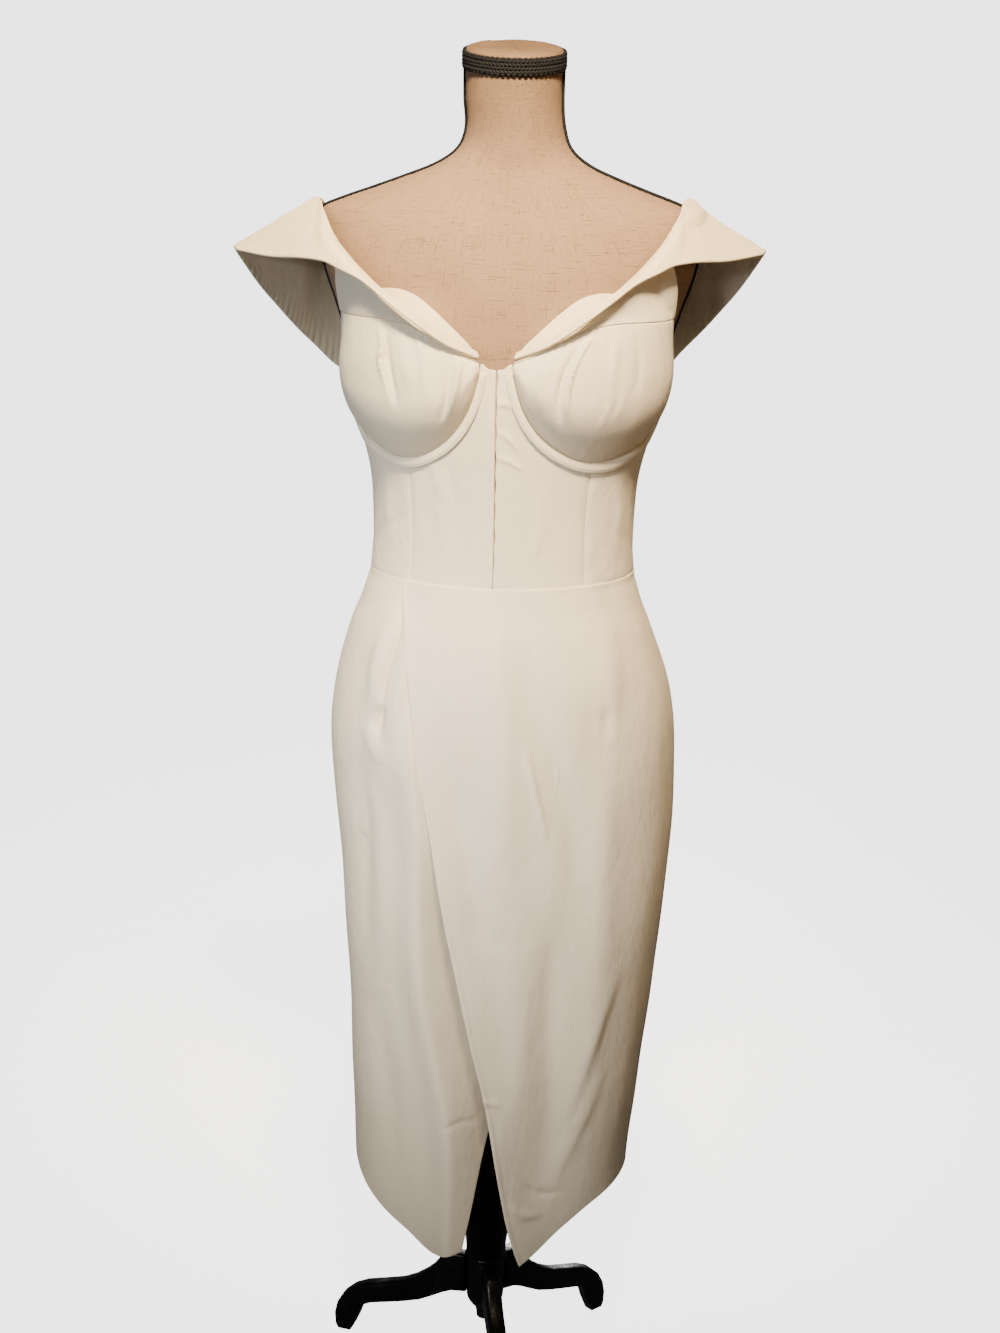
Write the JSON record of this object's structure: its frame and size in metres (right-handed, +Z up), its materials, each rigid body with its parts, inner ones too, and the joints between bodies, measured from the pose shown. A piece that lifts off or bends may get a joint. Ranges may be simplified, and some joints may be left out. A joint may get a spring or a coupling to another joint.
{
  "type": "off-shoulder dress on a dress form",
  "caption": "Ivory off-shoulder midi dress with winged collar, gathered wired cups and a wrap-front skirt, standing on a limbless canvas dress form with a black three-legged stand.",
  "frame": {"origin": "on the floor under the middle of the part's outline", "axes": "+Z up, the dress's front faces -Y, +X to the viewer's right"},
  "size_m": [0.4862, 0.2969, 1.3229],
  "materials": {
    "ivory_cloth": "matte woven",
    "canvas": "matte linen canvas",
    "black_braid": "matte braid",
    "black_wood": "satin paint"
  },
  "bodies": {
    "root": {"bodice_centre_front_left": "ivory_cloth", "bodice_centre_front_right": "ivory_cloth", "bodice_side_front_left": "ivory_cloth", "bodice_side_front_right": "ivory_cloth", "bodice_back_left": "ivory_cloth", "bodice_back_right": "ivory_cloth", "front_placket": "ivory_cloth", "cup_left": "ivory_cloth", "cup_right": "ivory_cloth", "underwire_casing_left": "ivory_cloth", "underwire_casing_right": "ivory_cloth", "cup_band_left": "ivory_cloth", "cup_band_right": "ivory_cloth", "petal_left": "ivory_cloth", "petal_right": "ivory_cloth", "collar_front_left": "ivory_cloth", "collar_front_right": "ivory_cloth", "collar_back_left": "ivory_cloth", "collar_back_right": "ivory_cloth", "skirt_front_overlap": "ivory_cloth", "skirt_front_under": "ivory_cloth", "skirt_back_left": "ivory_cloth", "skirt_back_right": "ivory_cloth", "form_torso": "canvas", "neck_trim": "black_braid", "piping_left": "black_braid", "piping_right": "black_braid", "stand_column": "black_wood", "stand_hub": "black_wood", "leg_front": "black_wood", "leg_right": "black_wood", "leg_left": "black_wood"}
  },
  "joints": []
}
